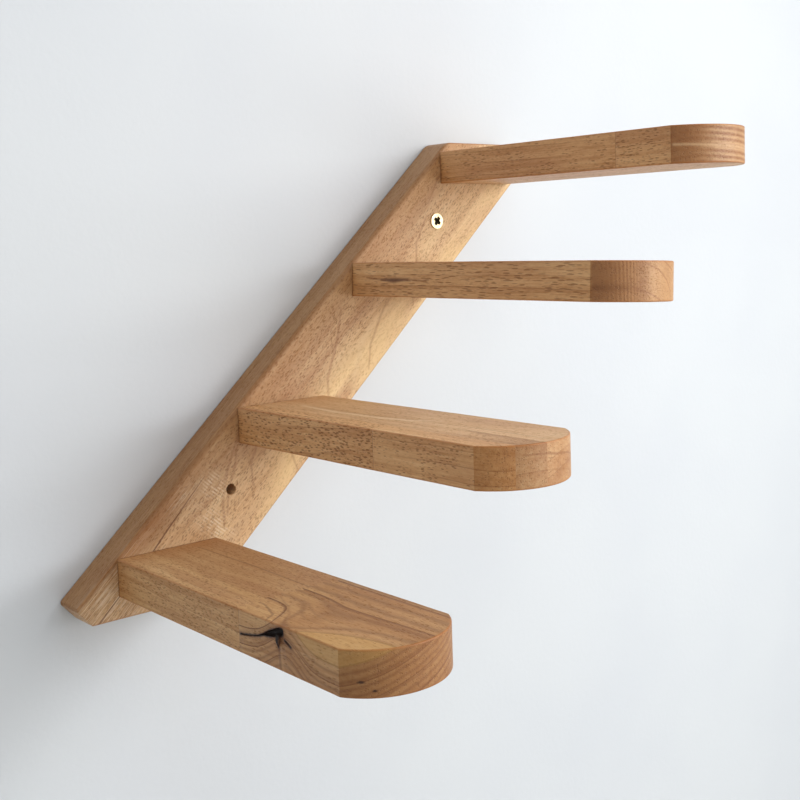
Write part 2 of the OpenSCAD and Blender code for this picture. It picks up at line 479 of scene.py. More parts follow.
def rounded(corners, radii, gap):
    """Outline points and outward directions round a closed polygon, its corners rounded."""
    count = len(corners)
    points = []
    for i, (here, radius) in enumerate(zip(corners, radii)):
        before, after = corners[i - 1], corners[(i + 1) % count]
        a, b = (before - here).normalized(), (after - here).normalized()
        half = a.angle(b) / 2
        reach = radius / tan(half)
        centre = here + (a + b).normalized() * (radius / sin(half))
        first, second = here + a * reach - centre, here + b * reach - centre
        span = first.angle_signed(second)
        for k in range(7):
            arm = first.copy()
            arm.rotate(Matrix.Rotation(-span * k / 6, 2))
            points.append((centre + arm, arm.normalized()))
        # Straight run to the next corner's arc
        following, far = corners[(i + 1) % count], corners[(i + 2) % count]
        half_next = (here - following).normalized().angle((far - following).normalized()) / 2
        start = here + b * reach
        stop = following - b * (radii[(i + 1) % count] / tan(half_next))
        runs = max(2, round((stop - start).length / gap))
        points += [(start.lerp(stop, k / runs), points[-1][1]) for k in range(1, runs)]
    return points


def inset(corners, gap):
    """The corners of a convex polygon, moved inwards by a gap from its sides."""
    moved = []
    for i, here in enumerate(corners):
        a, b = (corners[i - 1] - here).normalized(), (corners[(i + 1) % len(corners)] - here).normalized()
        moved.append(here + (a + b).normalized() * (gap / sin(a.angle(b) / 2)))
    return moved


def uneven(point, size, seed):
    """A radius that varies a little along an arris, as hand sanding leaves it."""
    return size * (1 + 0.22 * noise.noise(Vector((point.x * 60, point.y * 60, seed))))


# ---- the backboard

board_low, board_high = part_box("backboard")
board_t = board_high.y - board_low.y
rise, run = sin(SLANT), cos(SLANT)
half_h = board_high.z
foot_left = board_low.x - CORNER_CLIP_SIDE * run
centre_reach = half_h / tan(SLANT)
span = 2 * (-centre_reach - foot_left)
top_left = foot_left + 2 * centre_reach
corners = [Vector(c) for c in (
    (foot_left + CORNER_CLIP, -half_h), (foot_left + span, -half_h),
    (top_left + span - CORNER_CLIP_SIDE * run, half_h - CORNER_CLIP_SIDE * rise),
    (top_left + span - CORNER_CLIP, half_h), (top_left, half_h),
    (foot_left + CORNER_CLIP_SIDE * run, -half_h + CORNER_CLIP_SIDE * rise))]
plan = rounded(corners, [2 * MM, 2.5 * MM, 2 * MM, 3 * MM, 9 * MM, 2 * MM], 5 * MM)
# The wall is left open behind the board, inside its outline, so that light reaches the board's back
behind_board = inset(corners, 2 * MM)

left_dir = Vector((-rise, run))
loop = []
for p, n in plan:
    lean = max(0, n.dot(left_dir)) ** 6
    along_edge = p.dot(Vector((run, rise)))
    taper = min(1, max(0, (0.165 - abs(along_edge)) / 0.03))
    front_r = uneven(p, (1 + 1.7 * lean * taper) * MM, 3)
    loop.append((Vector((p.x, -p.y)), Vector((n.x, -n.y)), front_r, uneven(p, 0.6 * MM, 8)))
board = eased_slab("oiled_backboard", loop, board_low.y, board_high.y)
board.data.transform(Matrix(((1, 0, 0, 0), (0, 0, 1, 0), (0, -1, 0, 0), (0, 0, 0, 1))))
if sum(f.normal.y * f.area for f in board.data.polygons if f.center.y < board_low.y + 1e-5) > 0:
    board.data.flip_normals()

tongues = {}
for i, nodes in TONGUE_NODES.items():
    boxes = [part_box(n) for n in nodes]
    low = Vector([min(b[0][k] for b in boxes) for k in range(3)])
    high = Vector([max(b[1][k] for b in boxes) for k in range(3)])
    tongues[i] = (low, high)
width, thick = tongues[1][1].x - tongues[1][0].x, tongues[1][1].z - tongues[1][0].z
# The top left arris of each tongue, about which the second one is turned
hinges = {i: Vector((low.x + thick * sin(TURN[i]), -board_t, high.z))
          for i, (low, high) in tongues.items()}

screw_low, screw_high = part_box("wall_screw")
screw_at = (screw_low + screw_high) / 2
screw_r = (screw_high.x - screw_low.x) / 2
gap_z = (tongues[3][0].z + tongues[4][1].z) / 2
hole_at = Vector((gap_z / tan(SLANT), 0, gap_z))
# +Z of a turned solid goes to -Y, out of the board
OUTWARD = Matrix(((1, 0, 0, 0), (0, 0, -1, 0), (0, 1, 0, 0), (0, 0, 0, 1)))
INWARD = Matrix(((1, 0, 0, 0), (0, 0, 1, 0), (0, -1, 0, 0), (0, 0, 0, 1)))


def at(x, y, z, turn):
    return Matrix.Translation((x, y, z)) @ turn


tools = [
    lathe(name, [(HOLE_R, -MM), (HOLE_R, board_t - deep), (HOLE_R + deep + over, board_t + over)],
          place=at(spot.x, 0, spot.z, OUTWARD))
    for name, spot, deep, over in (("hole", hole_at, 0.35 * MM, 0.65 * MM),
                                   ("seat", screw_at, 1.45 * MM, MM))
]
tie_spots = []
for hinge in hinges.values():
    for off in (-TIE_PITCH / 2, TIE_PITCH / 2):
        tie_spots.append((hinge.x + width / 2 + off, hinge.z - thick / 2))
for x, z in tie_spots:
    profile = [(TIE_HOLE_R, -board_t - MM), (TIE_HOLE_R, -2.85 * MM), (TIE_MOUTH_R, -0.85 * MM),
               (TIE_MOUTH_R + 0.1 * MM, -0.3 * MM), (4.6 * MM, 0.15 * MM), (4.6 * MM, MM)]
    tools.append(lathe("tie", profile, 40, at(x, 0, z, INWARD)))


def lump(name, centre, radii, seed, turn=None):
    """A rough lump to bite a chip or a hollow out of a face."""
    bm = bmesh.new()
    bmesh.ops.create_icosphere(bm, subdivisions=3, radius=1)
    for vert in bm.verts:
        vert.co *= 1 + 0.18 * noise.noise(vert.co * 1.7 + Vector((seed, 0, 0)))
        vert.co = Vector(a * b for a, b in zip(vert.co, radii))
    if turn is not None:
        bmesh.ops.rotate(bm, matrix=turn, verts=bm.verts)
    bmesh.ops.translate(bm, vec=centre, verts=bm.verts)
    return mesh_object(name, bm)


# Torn fibres at the lower hole's upper right
chip_at = hole_at + Vector((2.9, -board_t / MM, 1.9)) * MM
tools.append(lump("chip", chip_at, (2.6 * MM, 0.5 * MM, 0.8 * MM), 4,
                  Matrix.Rotation(-radians(52), 3, "Y")))
cut(board, tools)


def board_marks(g, u, v, w, ring):
    """Shake lines, ripple figure and grime at the board's ends; painted light towards the right of the
    front face, and a browner band down its left that is partly the wood's own tone and partly painted
    shade.

    u is down and right across the board, v up the slope.
    """
    s, t = v, -u
    face = g.step(w.abs(), 16, 19)
    wob = g.sway(1.4, s * 0.13, t * 0.13, 4)
    crack = stroke(s + wob * 0.4, t + wob * 0.4,
                   [(-157, 14.8), (-144, 16), (-128, 17), (-108, 18.4)], [0.3, 0.42, 0.2, 0])
    foot = stroke(s + wob, t + wob * 0.5, [(-206, 13.5), (-184, 14.2)], [0.4, 0.1])
    paths = [([(-121, -12), (-110, 0), (-99, 8), (-80, 17)], 0.5),
             ([(-114, -8), (-104, 1), (-92, 7), (-74, 21)], 0.3),
             ([(-92, -10), (-84, 0), (-70, 6), (-58, 19)], 0.35),
             ([(-66, -27), (-63, -20), (-60, -12)], 0.4),
             ([(-30, -24), (-14, -6), (6, 4), (22, 16)], 0.5),
             ([(10, -26), (22, -16), (44, -8), (66, -6)], 0.4),
             ([(66, -20), (80, -10), (92, 2), (110, 8)], 0.4),
             ([(116, 12), (132, 18), (150, 20)], 0.3)]
    shakes = strokes(s + wob * 2.2, t + wob * 2, *[
        (points, [width * 0.4] + [width] * (len(points) - 2) + [0.1]) for points, width in paths])
    ripple = g.math("SINE", s * 3.6 + t * 0.5 + wob * 2.5) * 0.5 + 0.5
    patch = g.gauss(s, -123, 5) * g.gauss(t, -6, 9)
    patch = patch.most(g.gauss(s, -108, 5) * g.gauss(t, 10, 6))
    patch = patch * g.step(g.noise(s * 0.25, t * 0.25, 2, 1, 2), 0.32, 0.62)
    comb = g.noise(s * 0.05, t * 1.6, 3, 1, 2, 0.7)
    combed = g.step(s, -135, -180).most(g.gauss(s, -126, 9) * g.gauss(t, 20, 5))
    combed = g.step(comb, 0.46, 0.62) * combed
    # Painted light: lighter patches towards the right edge of the front face, where the light falls from
    # the right.
    right_painted_light = g.step(g.noise(s * 0.012, t * 0.05, 5, 1, 2), 0.38, 0.62)
    streaks = g.step(g.noise(s * 0.04, w * 1.2, 3, 1, 2, 0.7), 0.5, 0.62)
    arch = stroke(s + wob * 2, t + wob, [(-8, -26), (18, -10), (36, -8), (62, -14)],
                  [1, 2.2, 2.2, 1])
    return [
        # Down the left of the front face a browner band, partly the wood's own tone and partly painted
        # shade; next, painted light towards its right edge.
        (g.step(t, 8, 25) * face, "#a87038", 0.38),
        (right_painted_light * g.step(t, 8, -22) * face, "#f6d59c", 0.72),
        (g.step(arch, 1.5, -1.5) * face, "#e6c596", 0.4),
        (combed * face, "#f2d9b8", 0.75),
        (g.step(shakes, 1, -0.2) * face, "#9c6540", 0.36),
        (g.step(crack, 0.3, -0.1) * face, "#5e2f16", 0.75),
        (g.step(foot, 0.4, -0.1) * face, "#6a3a20", 0.7),
        (ripple * patch * face, "#f6dfbd", 0.8),
        (g.gauss(s, -142, 20) * g.step(t, 12, 20) * face, "#84501f", 0.45),
        (g.step(t, 25.5, 28.6), "#86521f", 0.66),
        (streaks * g.step(t, 28, 29), "#c39a6a", 0.45),
    ]


def board_edge(g, u, v, w):
    """Worn, oil-darkened arrises round the front face."""
    t = -u
    deep = (w.abs() - 10).abs()
    near_face = g.step(deep, 8.4, 9.6)
    right = g.step(t, -27.6, -28.9)
    left = g.step(t, 27.8, 29) * 0.35
    bottom = g.step(v * rise + t * run, -half_h / MM + 1.5, -half_h / MM + 0.2)
    top = g.step(v * rise + t * run, half_h / MM - 1.3, half_h / MM - 0.2)
    return near_face * right.most(left).most(bottom).most(top)


board_look = {
    "seed": 1, "pith": (-26, 46, 0.20), "wander": 9, "spacing": 9, "rings": 0.35, "lines": 0.12,
    "pores": 0.95, "pore_long": 3.2, "pore_rate": 1.15, "pore_dark": 0.52, "pore_tint": "#80502a",
    "fine": 0.7, "end": 0.3, "arris": 0.6, "light": "#e9c99b", "mid": "#dcb486",
    "deep": "#c09160", "gain": (0.94, 0.94, 0.93),
}
board_wood = wood("oiled wood of the board", (run, 0, rise), (rise, 0, -run), (0, 0, 0), board_look,
                  marks=(board_marks,), edge=board_edge)
finish_piece(board, ["backboard"], board_wood)


# ---- the tongues

def tongue_loop(width, length, seed):
    """Plan outline of a tongue in metres, from its left root corner round the tip to its right one."""
    radius = ((width / 2) ** 2 + TIP_DEPTH ** 2) / (2 * TIP_DEPTH)
    centre = Vector((width / 2, length - radius))
    corner_r = 1.1 * MM
    # The small arc at a tip corner touches the side inside and the tip's arc inside
    inner = radius - corner_r
    cx = corner_r
    cy = centre.y + sqrt(inner ** 2 - (cx - centre.x) ** 2)
    aim = (Vector((cx, cy)) - centre).normalized()
    turn = atan2(aim.y, -aim.x)
    points = []
    steps = 44
    for k in range(steps + 1):
        points.append((Vector((0, cy * k / steps)), Vector((-1, 0))))
    for k in range(1, 7):
        angle = turn * k / 7
        out = Vector((-cos(angle), sin(angle)))
        points.append((Vector((cx, cy)) + out * corner_r, out))
    for k in range(0, 33):
        angle = turn + (pi / 2 - turn) * k / 32
        out = Vector((-cos(angle), sin(angle)))
        points.append((centre + out * radius, out))
    mirrored = [(Vector((width - p.x, p.y)), Vector((-n.x, n.y))) for p, n in reversed(points[:-1])]
    points += mirrored
    return [(p, n, uneven(p, 0.75 * MM, seed), uneven(p, 0.75 * MM, seed + 5)) for p, n in points]


def zigzag(width, joint):
    """Plan points of a finger joint across timber of this width, in millimetres."""
    fingers = round(width / FINGER_PITCH)
    return [(k * width / fingers / 2, joint - (k % 2) * FINGER) for k in range(2 * fingers + 1)]


def near_side(width, joint):
    points = zigzag(width, joint)
    return [(width + 1, -1), (-1, -1), (-1, joint), *points, (width + 1, joint)] if width > 50 else [
        (width, -1), (-1, -1), (-1, joint), *points]


def far_side(width, joint, length):
    points = zigzag(width, joint)
    ends = [(width + 1, joint), (width + 1, length + 1)] if width > 50 else [(width, length + 1)]
    return [(-1, joint), *points, *ends, (-1, length + 1)]


SLIT_SIDES = 10


def slit(name, points, widths, depth):
    """A ragged crack to cut into a tongue's left side: (v, w) points in mm, half-widths and depth."""
    bm = bmesh.new()
    rings = []
    for k, ((v, w), half) in enumerate(zip(points, widths)):
        before, after = points[max(k - 1, 0)], points[min(k + 1, len(points) - 1)]
        way = Vector((after[0] - before[0], after[1] - before[1])).normalized()
        side = Vector((-way.y, way.x))
        ring = []
        for j in range(SLIT_SIDES):
            angle = 2 * pi * j / SLIT_SIDES
            rag = 1 + 0.25 * noise.noise(Vector((v * 0.9, w * 0.9, j * 1.3)))
            off = side * (half * rag * cos(angle))
            deep = depth * min(1, half) * rag * sin(angle)
            ring.append(bm.verts.new((deep * MM, (v + off.x) * MM, (w + off.y) * MM)))
        rings.append(ring)
    skin(bm, rings)
    return mesh_object(name, bm)


# Cracks of the dead knot on the lowest tongue's left side: (out, up) points in mm, and half-widths
KNOT = ([(116, -11.1), (120, -10.7), (125, -9.9), (130, -8.5), (134, -7), (138, -5.6), (142, -4.6),
         (146, -3.3), (148.3, -2.3), (149.3, -1.7)],
        [0.25, 0.35, 0.2, 0.25, 0.45, 1.2, 1.7, 2.1, 1.4, 0.4])
KNOT_CRACK = ([(146.4, -4), (146, -6.5), (145.6, -8.6), (145.4, -9.8)], [1.1, 1, 0.6, 0.2])
KNOT_LENS = ([(150.2, -5.8), (151.5, -6.4), (153, -7.1), (154.4, -7.7)], [0.2, 0.6, 0.6, 0.2])


def arris_mask(width, length):
    """The oil-darkened arrises of a tongue: w is 0 at its top and -20 at its bottom."""
    radius = ((width / 2) ** 2 + (TIP_DEPTH / MM) ** 2) / (2 * TIP_DEPTH / MM)

    def mask(g, u, v, w):
        level = (w + 10).abs()
        off_u, off_v = u - width / 2, v - (length - radius)
        rim = g.step(v, length - TIP_DEPTH / MM - 2, length - TIP_DEPTH / MM) * \
            ((off_u * off_u + off_v * off_v).root() - (radius - 10))
        flank = off_u.abs() - (width / 2 - 10)
        outside = rim.most(flank)
        return g.step(level, 8.7, 9.8) * g.step(outside, 8.8, 9.8)
    return mask


def joint_mark(width, joint):
    """The glue line of a finger joint."""
    step = width / round(width / FINGER_PITCH) / 2

    def mask(g, u, v, w):
        tooth = g.math("PINGPONG", u, step) * (FINGER / step)
        off = (v - joint + tooth).abs()
        return g.step(off, 0.32, 0.05)
    return mask


def knot_marks(g, u, v, w, ring):
    """The dead knot with its bark on the lowest tongue's left side."""
    near = g.step(u, 5, 2)
    wob = g.sway(1.6, u * 0.5, v * 0.45, w * 0.9, detail=3)
    void = stroke(v, w, [(116, -11.2), (130, -8.6), (134.5, -7), (139, -5.5), (147.6, -2.8)],
                  [0.2, 0.2, 0.5, 1.4, 1.9], wob * 0.6)
    crack = stroke(v, w, KNOT_CRACK[0][::3], [1, 0.3], wob * 0.4)
    lens = stroke(v, w, KNOT_LENS[0][::3], [0.3, 0.3], wob * 0.3)
    seam = stroke(v, w, [(145.8, -10), (146.6, -20)], [0.5, 0.8], wob * 0.4)
    pale = stroke(v, w, [(147.5, -9.5), (148, -20)], [0.3, 1], wob * 0.4)
    black = void.least(crack).least(lens)
    halo = g.step(black, 3.2, 0)
    return [
        (halo * near, "#6b3f26", 0.55),
        (g.step(pale, 0.8, -0.4) * near, "#c79a6a", 0.4),
        (g.step(seam, 0.6, -0.3) * near, "#6a3f22", 0.45),
        (g.step(black, 0.7, 0) * near, "#2a140c", 0.9),
        (g.step(black, 0.15, -0.35) * near, PALETTE["char"], 0.96),
    ]


def knot_growth(g, u, v, w):
    """Growth rings that dip round the knot at the left arris and lie aslant at the tip."""
    toward = g.step(v, 150, 150.5)
    width = (u * 0.7 + 9.5) * toward + (1 - toward) * 11
    return u * 0.41 - w + g.gauss(v, 150, width) * g.gauss(u, 0, 17) * 10.5


def ring_marks(g, u, v, w, ring):
    """Light early wood, the browner wood past it, and the bands that bend round the knot on top."""
    top = g.step(w, -3, -0.4)
    wob = g.sway(1.2, u * 0.2, v * 0.12, 3)
    dark = stroke(u + wob, v + wob, [(12.5, 111), (11.7, 117), (9.8, 124), (6.1, 133), (0.3, 136.5)],
                  [0.1, 0.25, 0.35, 0.4, 0.2])
    faint = strokes(u + wob, v + wob,
                    ([(23.9, 112), (17, 128.5), (11.2, 138), (3.1, 145)], [0.1, 0.3, 0.4, 0.2]),
                    ([(18.4, 136), (12.3, 148), (12.4, 158)], [0.1, 0.35, 0.1]),
                    ([(26, 132), (19, 146), (17.5, 160)], [0.1, 0.35, 0.1]))
    bands = g.math("SINE", ring * 1.9 + wob * 2) * 0.5 + 0.5
    late = g.step(ring, 7.6, 8.2)
    early = (1 - late) * g.step(v, 146, 156)
    return [
        (early, "#c39859", 0.45),
        (late * g.step(v, 112, 150), "#a06f45", 0.35),
        (late * bands * bands, "#7d4f2e", 0.5),
        (g.step(dark, 0.6, -0.3) * top, "#6a4326", 0.55),
        (g.step(faint, 0.9, -0.3) * top, "#80532f", 0.32),
    ]


def inner_4_marks(g, u, v, w, ring):
    """The lowest tongue's inner block: darker from its middle on, with one straight line on its top."""
    line = stroke(u, v, [(42, 10), (42.6, 60), (41, 113)], [0.1, 0.3, 0.2])
    return [
        (g.step(u, 14, 24), "#a4714a", 0.34),
        (g.step(v, 26, 4), "#a86c38", 0.3),
        (g.step(line, 0.45, -0.2) * g.step(w, -2, -0.5), "#6e4426", 0.6),
    ]


def tip_2_marks(g, u, v, w, ring):
    """The second tongue's cut end: dark and striped at its left, with arcs at its right."""
    end = g.step(v, 183, 184.5)
    stripes = g.math("SINE", u * 4.2 + w * 0.15) * 0.5 + 0.5
    arcs = strokes(u, w,
                   ([(21, -1.5), (29, -4.4), (36.4, -9.4), (41, -15)], [0.1, 0.2, 0.2, 0.1]),
                   ([(14, -12.6), (21.6, -15), (31, -19.4)], [0.1, 0.2, 0.1]),
                   ([(34, -0.5), (43, -4.5), (50, -11)], [0.1, 0.2, 0.1]))
    return [
        (end * g.step(u, 19, 11), "#8d6140", 0.55),
        (end * stripes * g.gauss(u, 12.5, 4), "#c89a6c", 0.4),
        (end * g.gauss(w, -13, 1.2) * g.step(u, 18, 10), "#6d4427", 0.4),
        (end * g.step(u, 18, 26), "#dcb486", 0.35),
        (end * g.step(arcs, 0.5, -0.1), "#8d5f3a", 0.55),
    ]


def tip_1_marks(g, u, v, w, ring):
    """The top tongue's cut end: nearly level bands."""
    end = g.step(v, 176, 177.5)
    wob = g.sway(2, u * 0.15, v * 0.1, w * 0.5)
    bands = g.math("SINE", w * 2.1 + u * 0.12 + wob) * 0.5 + 0.5
    return [(end * g.step(u, 14, 4), "#9a6c46", 0.4),
            (end * bands * g.step(u, 4, 20), "#e2bf94", 0.35),
            (end * g.gauss(w + u * 0.05, -10, 0.5), "#e8c8a0", 0.4)]


def tip_3_marks(g, u, v, w, ring):
    """The third tongue's cut end: ring lines across its right stave."""
    end = g.step(v, 187, 188.5)
    wob = g.sway(1.4, u * 0.2, 0, w * 0.4)
    line = stroke(u, w + wob, [(16, -4.4), (28, -5.2), (44, -7.2), (56, -11)], [0.2, 0.4, 0.35, 0.1])
    low = stroke(u, w + wob, [(27, -12.4), (38, -13.4), (48, -16)], [0.1, 0.3, 0.1])
    return [(end * g.step(line, 0.6, -0.2), "#8a5a34", 0.6),
            (end * g.step(low, 0.6, -0.2), "#98683f", 0.4)]


def top_3_marks(g, u, v, w, ring):
    """A pale band that curves along the third tongue's top face, browner past it near the board."""
    top = g.step(w, -2.5, -0.5)
    wob = g.sway(3, u * 0.05, v * 0.03, 6)
    band = stroke(u + wob, v, [(27, 25), (24, 56), (25.6, 94), (29, 112), (37, 126)],
                  [0.8, 1.6, 1.6, 1.4, 0.4])
    return [(top * g.step(band, 1.6, -1.2), "#e6cba4", 0.5),
            (top * g.step(v, 90, 10) * g.step(u, 24, 40), "#b27c4a", 0.35)]


def tip_pins(g, u, v, w, ring):
    """Two pin knots low on the lowest tongue's tip."""
    found = []
    for pin, size in (((5.3, -13.1), 0.55), ((9.2, -16.7), 0.45)):
        du, dw = u - pin[0], w - pin[1]
        off = (du * du * 0.35 + dw * dw).root() + g.sway(0.7, u, v, w, 1.3)
        found.append(off / size)
    spot = found[0].least(found[1])
    return [(g.step(spot, 1.7, 0.6) * g.step(v, 180, 186), "#341a0e", 0.85)]


def pocket_marks(g, u, v, w, ring):
    """The dark pitch pocket near the second tongue's root."""
    wob = g.sway(0.9, u, v * 0.4, w, 0.9, 3)
    dark = stroke(v, w, [(27, -10.1), (38, -10.5), (50.5, -9.9)], [0.1, 1.05, 0.1], wob * 0.5)
    trail = stroke(v, w, [(14, -9), (27, -10.1), (50, -9.9), (66, -10.6)],
                   [0.1, 0.35, 0.35, 0.1], wob * 0.6)
    near = g.step(u, 4, 1.5)
    return [(g.step(trail, 0.8, -0.1) * near, "#7b4b29", 0.5),
            (g.step(dark, 1.2, -0.4) * near, "#6a452e", 0.75),
            (g.step(dark, 0, -0.9) * near, "#4a2e20", 0.5)]


def root_shade_and_dust(g, u, v, w, ring):
    """A ragged darker band where a tongue meets the board: partly painted shade of the crease, partly oil
    and dust that gather there.
    """
    ragged = g.sway(1.6, u, v, w, 0.6)
    return [(g.step(v + ragged, 1.6, 0.1), "#5a3317", 0.6)]


def glue(width, joint):
    line = joint_mark(width, joint)
    return lambda g, u, v, w, ring: [(line(g, u, v, w), "#6b4122", 0.3)]


def tongue_pieces():
    """Rows of node, tongue, plan that the piece is cut to, slot, look, growth, marks and cracks."""
    full = {i: (high.y - low.y) / MM for i, (low, high) in tongues.items()}
    stave_a = (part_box("tongue_3_middle")[0].x - tongues[3][0].x) / MM
    stave_b = (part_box("tongue_3_right")[0].x - tongues[3][0].x) / MM
    far = max(full.values()) + 1

    def across(start, end):
        return [(start, -1), (end, -1), (end, far), (start, far)]

    return [
        ("tongue_1_inner", 1, near_side(60, JOINTS[1]), "block_inner",
         dict(seed=2, pith=(24, -62, 0.02), pore_long=4.6, depth=0.10), None,
         [root_shade_and_dust, glue(60, JOINTS[1])], []),
        ("tongue_1_outer", 1, far_side(60, JOINTS[1], full[1]), "block_outer",
         dict(seed=3, pith=(40, -150, 0), pores=0.8, spacing=4.2, lines=0.15, depth=0.05,
              end_tone="#a28362"), None,
         [tip_1_marks, glue(60, JOINTS[1])], []),
        ("tongue_2", 2, None, "block_inner",
         dict(seed=4, pith=(8, -66, 0), pores=0.9, pore_long=8, spacing=7.5, depth=0.08,
              end=0.7), None,
         [root_shade_and_dust, pocket_marks, tip_2_marks], []),
        ("tongue_3_left_inner", 3, near_side(stave_a, JOINTS[3]), "block_inner",
         dict(seed=5, pith=(-40, -30, 0.05), pores=1, pore_size=1.1, pore_rate=0.95,
              pore_long=3.6, pore_dark=0.66, depth=0.16), None,
         [root_shade_and_dust, top_3_marks, glue(stave_a, JOINTS[3])], []),
        ("tongue_3_left_outer", 3, far_side(stave_a, JOINTS[3], full[3]), "block_outer",
         dict(seed=6, pith=(10, 60, 0), pores=0.6, pore_size=0.9, depth=0.06, end=0.5,
              end_tone="#bd9a5a"), None, [top_3_marks, glue(stave_a, JOINTS[3])], []),
        ("tongue_3_middle", 3, across(stave_a, stave_b), "block_light",
         dict(seed=7, pith=(20, -90, 0), depth=-0.05, fine=0.4, end=0.62,
              end_tone="#b59a7e", pores=0.6, pore_dark=0.4, gain=(1.05, 1.07, 1.08)), None,
         [root_shade_and_dust, top_3_marks, tip_3_marks], []),
        ("tongue_3_right", 3, across(stave_b, 61), "block_inner",
         dict(seed=8, pith=(45, -62, 0.04), depth=-0.02, end=0.45,
              end_tone="#b9976f", pores=0.5, fine=0.35, pore_dark=0.4, gain=(1.05, 1.07, 1.08)), None,
         [root_shade_and_dust, top_3_marks, tip_3_marks], []),
        ("tongue_4_inner", 4, near_side(60, JOINTS[4]), "block_inner",
         dict(seed=9, pith=(70, 48, -0.03), pores=0.8, pore_long=3.4, pore_dark=0.48, spacing=5,
              lines=0.1, depth=0.14, gain=(0.98, 0.98, 0.91)), None,
         [inner_4_marks, root_shade_and_dust, glue(60, JOINTS[4])], []),
        ("tongue_4_outer", 4, far_side(60, JOINTS[4], full[4]), "block_outer",
         dict(seed=10, wander=3, pores=0.55, fine=0.4, spacing=7.8, shift=0, rings=0.6, lines=0.9,
              sure=1, depth=0.12, end=0.55, pore_dark=0.42, gain=(0.96, 0.95, 0.86)), knot_growth,
         [ring_marks, knot_marks, tip_pins, glue(60, JOINTS[4])],
         [(KNOT, 2.4), (KNOT_CRACK, 1.6), (KNOT_LENS, 1.2)]),
    ]


for node, i, outline, slot, look, growth, marks, cracks in tongue_pieces():
    length = tongues[i][1].y - tongues[i][0].y
    slab = eased_slab("oiled_" + node, tongue_loop(width, length, float(i)), 0, -thick, flat_ends=True)
    if outline is not None:
        plan_m = [(x * MM, y * MM) for x, y in outline]
        cut(slab, [prism("keep", plan_m, -thick - MM, MM)], "INTERSECT")
    cos_t, sin_t = cos(TURN[i]), sin(TURN[i])
    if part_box(node)[1].y > -board_t - MM:
        # Pilot holes of the tongue screws, which keep their places when the tongue is turned
        spots = [(width / 2 + off, -thick / 2) for off in (-TIE_PITCH / 2, TIE_PITCH / 2)]
        cut(slab, [lathe("pilot", [(TIE_HOLE_R, -MM), (TIE_HOLE_R, 26 * MM)], 24,
                         at(x * cos_t - z * sin_t, 0, x * sin_t + z * cos_t, INWARD)) for x, z in spots])
    cut(slab, [slit("crack", *shape, depth) for shape, depth in cracks])
    # From the tongue's own axes (across, out, up) to the rack's
    slab.data.transform(Matrix.Translation(hinges[i]) @ Matrix.Rotation(TURN[i], 4, "Y") @
                        Matrix.Diagonal((1, -1, 1, 1)))
    slab.data.flip_normals()
    grain = wood("oiled wood of " + node.replace("_", " "), (0, -1, 0), (cos_t, 0, -sin_t),
                 hinges[i] / MM, look, growth, marks, arris_mask(width / MM, length / MM))
    finish_piece(slab, [node], grain)


# ---- screws and plug

def screw_mesh(name, shank_r, core_r, length, head_r, pitch, recess_turn=0):
    """A countersunk wood screw along +Z, its head's top at 0, with a rolled thread and a cross recess."""
    rim = 0.4 * MM
    cone = head_r - shank_r
    smooth_to = rim + cone + 4 * MM
    point = 5 * MM
    rows = [(head_r - 0.25 * MM, 0), (head_r - 0.08 * MM, 0.06 * MM), (head_r, 0.2 * MM), (head_r, rim)]
    rows += [(head_r - cone * k / 4, rim + cone * k / 4) for k in range(1, 5)]
    rows.append((shank_r - 0.25 * MM, smooth_to - 1.5 * MM))
    steps = int((length - smooth_to) / (pitch / 7))
    for k in range(steps + 1):
        z = smooth_to + (length - smooth_to - 0.1 * MM) * k / steps
        left = length - z
        taper = min(1, left / point)
        fade = min(1, (z - smooth_to) / (2 * MM))

        def radius_at(a, z=z, taper=taper, fade=fade):
            turn = (z / pitch - a / (2 * pi)) % 1
            ridge = max(0, 1 - abs(turn - 0.5) / 0.22)
            full = core_r + (shank_r - core_r) * ridge * fade
            return max(0.12 * MM, full * taper ** 0.8)
        rows.append((radius_at, z))
    screw = lathe(name, rows, 32)
    # Cross recess: four tapering wings round a conical middle
    wing, arm, deep = head_r * 0.62, head_r * 0.22, cone * 0.95
    bm = bmesh.new()
    stations = []
    for share, z in ((1, -0.3 * MM), (0.96, 0), (0.62, deep * 0.6), (0.30, deep)):
        wide, inner = arm * share * 0.9, arm * 1.3 * share
        quarter = [Vector(p) for p in ((inner, inner), (wing * share, wide), (wing * share, -wide))]
        turns = [Matrix.Rotation(pi / 2 * q + recess_turn, 2) for q in range(4)]
        outline = [turn @ p for turn in turns for p in quarter]
        outline.sort(key=lambda p: atan2(p.y, p.x))
        stations.append([bm.verts.new((p.x, p.y, z)) for p in outline])
    skin(bm, stations)
    cut(screw, [mesh_object("recess", bm)])
    return screw


def plated(name, base, tint, roughness, recess=None):
    """Zinc plate: fine grain and faint scratches. recess: the cross recess, whose inside is painted dark
    as painted shade.
    """
    g = Graph(name)
    x, y, z = g.place()
    grain = g.noise(x, y, z, 4, 3)
    cloud = g.noise(x, y, z, 0.6, 2)
    scratch = g.noise(x * 0.6 + z * 0.4, y, z * 9, 1.5, 2)
    colour = g.mix(g.step(cloud, 0.35, 0.7), base, tint)
    colour = g.mix(g.step(scratch, 0.62, 0.7) * 0.25, colour, "#ffffff")
    rough = roughness + grain * 0.12 + cloud * 0.08
    if recess is not None:
        off_x, off_z = x - recess[0], z - recess[2]
        # Painted shade: the inside of the cross recess is painted nearly black and made rougher.
        recess_shade = g.step((off_x * off_x + off_z * off_z).root(), 3.3, 3) * g.step(y - recess[1], 0.02, 0.3)
        colour = g.mix(recess_shade * 0.93, colour, "#30291f")
        rough = rough + recess_shade * 0.3
    return g.surface(colour, rough, grain * 0.3 + scratch * 0.3, 0.02 * MM, Metallic=1)


